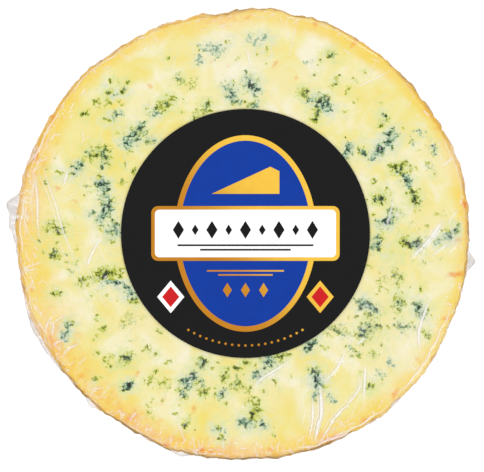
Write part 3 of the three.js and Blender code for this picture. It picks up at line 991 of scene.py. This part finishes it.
# The label
# A round sticker of coated black paper on the film. Its print is plain shapes in gold, blue and
# white: an oval field with a wedge of cheese on it, a band across it, and a few lozenges.
LABEL_BOTTOM = ROUND_HEIGHT + 0.1
PAPER_THICKNESS = 0.26
INK_THICKNESS = 0.025
OVAL_HALF = (29.0, 41.0)
OVAL_BORDER = 2.4
BAND_HALF = (40.0, 10.5)
BAND_BORDER = 1.6
DOT_RADIUS, DOTS_RADIUS, DOTS_APART = 0.55, 49.5, 3.4
BADGE_PLACE, BADGE_HALF, BADGE_HEART_HALF = (33, -28), (6.0, 7.2), (3.8, 4.6)


def print_group():
    """Ink on coated paper: a little mottle in the colour, and a slight tooth in the gloss."""
    group = bpy.data.node_groups.new("printed paper", "ShaderNodeTree")
    face = group.interface
    for name, kind in (("Ink", "Color"), ("Gloss", "Float")):
        face.new_socket(name, in_out="INPUT", socket_type="NodeSocket" + kind)
    for name, kind in (("Color", "Color"), ("Roughness", "Float"), ("Normal", "Vector")):
        face.new_socket(name, in_out="OUTPUT", socket_type="NodeSocket" + kind)
    given = node(group, "NodeGroupInput")
    place = node(group, "ShaderNodeTexCoord").outputs["Object"]
    mottle = grain(group, place, 6.0, 4, 0.6)
    tooth = grain(group, place, 0.35, 3, 0.6)
    lighter = blended(group, 1.0, given.outputs["Ink"], (1.2, 1.2, 1.2, 1), "MULTIPLY")
    colour = blended(group, mottle, given.outputs["Ink"], lighter)
    rough = plus(group, given.outputs["Gloss"], times(group, tooth, 0.12))
    bump = node(group, "ShaderNodeBump", {"Height": tooth, "Strength": 0.12, "Distance": 0.05 * MM})
    node(group, "NodeGroupOutput", {"Color": colour, "Roughness": rough, "Normal": bump.outputs[0]})
    return group


def ink(name, colour, sheen_tone=None, gloss=0.36):
    """One ink, or the bare paper. Given a second tone, the colour shades to it in waves across the label: a
    painted reflection, as foil shows.
    """
    material, tree = material_tree(name)
    look = node(tree, "ShaderNodeGroup", node_tree=printed_paper)
    look.inputs["Gloss"].default_value = gloss
    if sheen_tone is None:
        look.inputs["Ink"].default_value = colour
    else:
        place = node(tree, "ShaderNodeTexCoord").outputs["Object"]
        parts = node(tree, "ShaderNodeSeparateXYZ", {0: place}).outputs
        slope = times(tree, plus(tree, parts[0], times(tree, parts[1], 0.6)), 1 / (70 * MM))
        wave = maths(tree, "SINE", times(tree, slope, 3.4))
        painted_sheen_ink = blended(tree, step(tree, wave, -1, 1), colour, sheen_tone)
        tree.links.new(painted_sheen_ink, look.inputs["Ink"])
    surface = node(tree, "ShaderNodeBsdfPrincipled", {
        "Base Color": look.outputs["Color"], "Roughness": look.outputs["Roughness"],
        "Normal": look.outputs["Normal"], "Specular IOR Level": 0.15,
    })
    surfaced(tree, surface)
    return material


def printed(form, name, material, layer=0):
    """Thickens flat faces into one printed piece, whose top lies on the paper and the inks below it."""
    bottom = LABEL_BOTTOM + (PAPER_THICKNESS - INK_THICKNESS if layer else 0)
    thickness = INK_THICKNESS * (layer + 1) if layer else PAPER_THICKNESS
    raised = bmesh.ops.extrude_face_region(form, geom=form.faces[:])
    top = [item for item in raised["geom"] if isinstance(item, bmesh.types.BMVert)]
    bmesh.ops.translate(form, verts=top, vec=(0, 0, thickness))
    bmesh.ops.recalc_face_normals(form, faces=form.faces)
    points = places(form) + (*LABEL_CENTRE, bottom)
    made = finished(form, points, name, material, {})
    for face in made.data.polygons:
        face.use_smooth = False
    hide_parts("label")


def oval(form, half, centre=(0, 0), segments=128):
    """A flat disc or oval with these half sizes."""
    made = bmesh.ops.create_circle(form, cap_ends=True, radius=1, segments=segments)
    bmesh.ops.scale(form, verts=made["verts"], vec=(*half, 1))
    bmesh.ops.translate(form, verts=made["verts"], vec=(*centre, 0))


def lozenge(form, half, centre):
    """A flat upright lozenge with these half sizes."""
    oval(form, half, centre, 4)


def plate(form, half, centre=(0, 0), corner=0.0):
    """A flat rectangle with these half sizes, with round corners if asked."""
    made = bmesh.ops.create_grid(form, x_segments=1, y_segments=1, size=1)["verts"]
    bmesh.ops.scale(form, verts=made, vec=(*half, 1))
    bmesh.ops.translate(form, verts=made, vec=(*centre, 0))
    if corner:
        bmesh.ops.bevel(
            form, geom=made, offset=corner, segments=8, affect="VERTICES", profile=0.5, material=-1,
        )


def wedge_shape(form):
    """The outline of a wedge of cheese, seen from the side: a long slope, a straight back and foot."""
    corners = ((-15, 17.5), (15, 17.5), (15, 27.5), (11, 29.5))
    form.faces.new([form.verts.new((x, y, 0)) for x, y in corners])


def make_label():
    """The paper and its print, from the bottom layer up."""
    # The gold's shading from dark to pale gold across the label is a painted reflection, as on foil.
    gold = ink("gold_ink", tone(186, 122, 28), tone(232, 186, 66))
    blue = ink("blue_ink", tone(6, 54, 150))
    white = ink("white_ink", tone(246, 246, 246))
    black = ink("black_ink", tone(14, 14, 14))
    red = ink("red_ink", tone(196, 26, 30))
    paper = bmesh.new()
    oval(paper, (LABEL_RADIUS, LABEL_RADIUS), segments=256)
    printed(paper, "label_paper", ink("black_paper", tone(17, 17, 18)))

    ground = bmesh.new()
    oval(ground, [half + OVAL_BORDER for half in OVAL_HALF])
    for index in range(-9, 10):
        way = math.radians(270 + DOTS_APART * index)
        oval(ground, (DOT_RADIUS, DOT_RADIUS), onward((0, 0), way, DOTS_RADIUS), 20)
    lozenge(ground, BADGE_HALF, BADGE_PLACE)
    printed(ground, "gold_ground", gold, 1)

    field = bmesh.new()
    oval(field, OVAL_HALF)
    printed(field, "blue_field", blue, 2)

    figures = bmesh.new()
    wedge_shape(figures)
    plate(figures, [half + BAND_BORDER for half in BAND_HALF], corner=3.0)
    for y, half in ((-16.5, 17), (-18.3, 12)):
        plate(figures, (half, 0.35), (0, y))
    for x in (-8, 0, 8):
        lozenge(figures, (2.0, 3.2), (x, -25))
    printed(figures, "gold_figures", gold, 3)

    band = bmesh.new()
    plate(band, BAND_HALF, corner=2.0)
    lozenge(band, BADGE_HALF, (-BADGE_PLACE[0], BADGE_PLACE[1]))
    printed(band, "white_band", white, 4)

    spots = bmesh.new()
    for side in (-1, 1):
        lozenge(spots, BADGE_HEART_HALF, (side * BADGE_PLACE[0], BADGE_PLACE[1]))
    printed(spots, "red_spots", red, 5)

    marks = bmesh.new()
    for index in range(-4, 5):
        tall = 4.0 if index % 2 == 0 else 2.4
        lozenge(marks, (tall * 0.62, tall), (7.4 * index, 1.6))
    for y, half in ((-5.2, 30), (-7.2, 20)):
        plate(marks, (half, 0.4), (0, y))
    printed(marks, "black_marks", black, 5)


printed_paper = print_group()
make_label()

# The studio
# A white sweep under the round, which glows a little like a light table, four narrow soft boxes for
# the film's shine, and an even white room.
STRIP_LAMPS = {
    "north_west_strip": (-0.62, 0.55, 0.98),
    "south_east_strip": (0.68, -0.5, 0.98),
    "north_east_strip": (0.45, 0.72, 0.95),
    "south_west_strip": (-0.5, -0.72, 0.95),
}
STRIP_SIZE = (0.12, 0.6)
STRIP_POWER = 2.75
FLOOR_HALF = 6.0
FLOOR_GLOW = 0.4
ROOM_LIGHT = 0.58


def make_floor():
    """The wide white sheet under the round."""
    form = bmesh.new()
    bmesh.ops.create_grid(form, x_segments=1, y_segments=1, size=FLOOR_HALF)
    material, tree = material_tree("white_sweep")
    surface = node(tree, "ShaderNodeBsdfPrincipled", {
        "Base Color": (0.9, 0.9, 0.9, 1), "Roughness": 0.9,
        "Emission Color": (1, 1, 1, 1), "Emission Strength": FLOOR_GLOW,
    })
    surfaced(tree, surface)
    placed("floor", mesh_of(form, "floor", material))


def soft_box(name, place):
    """A long rectangular lamp that faces the middle of the round."""
    data = bpy.data.lights.new(name, "AREA")
    data.shape = "RECTANGLE"
    data.size, data.size_y = STRIP_SIZE
    data.energy = STRIP_POWER
    lamp = placed(name, data)
    lamp.location = place
    aim = Vector((0, 0, ROUND_HEIGHT * MM)) - Vector(place)
    lamp.rotation_euler = aim.to_track_quat("-Z", "Y").to_euler()


make_floor()
for name, place in STRIP_LAMPS.items():
    soft_box(name, place)
world = bpy.data.worlds.new("room")
world.use_nodes = True
room = world.node_tree.nodes["Background"].inputs
room["Color"].default_value = (1, 1, 1, 1)
room["Strength"].default_value = ROOM_LIGHT
bpy.context.scene.world = world
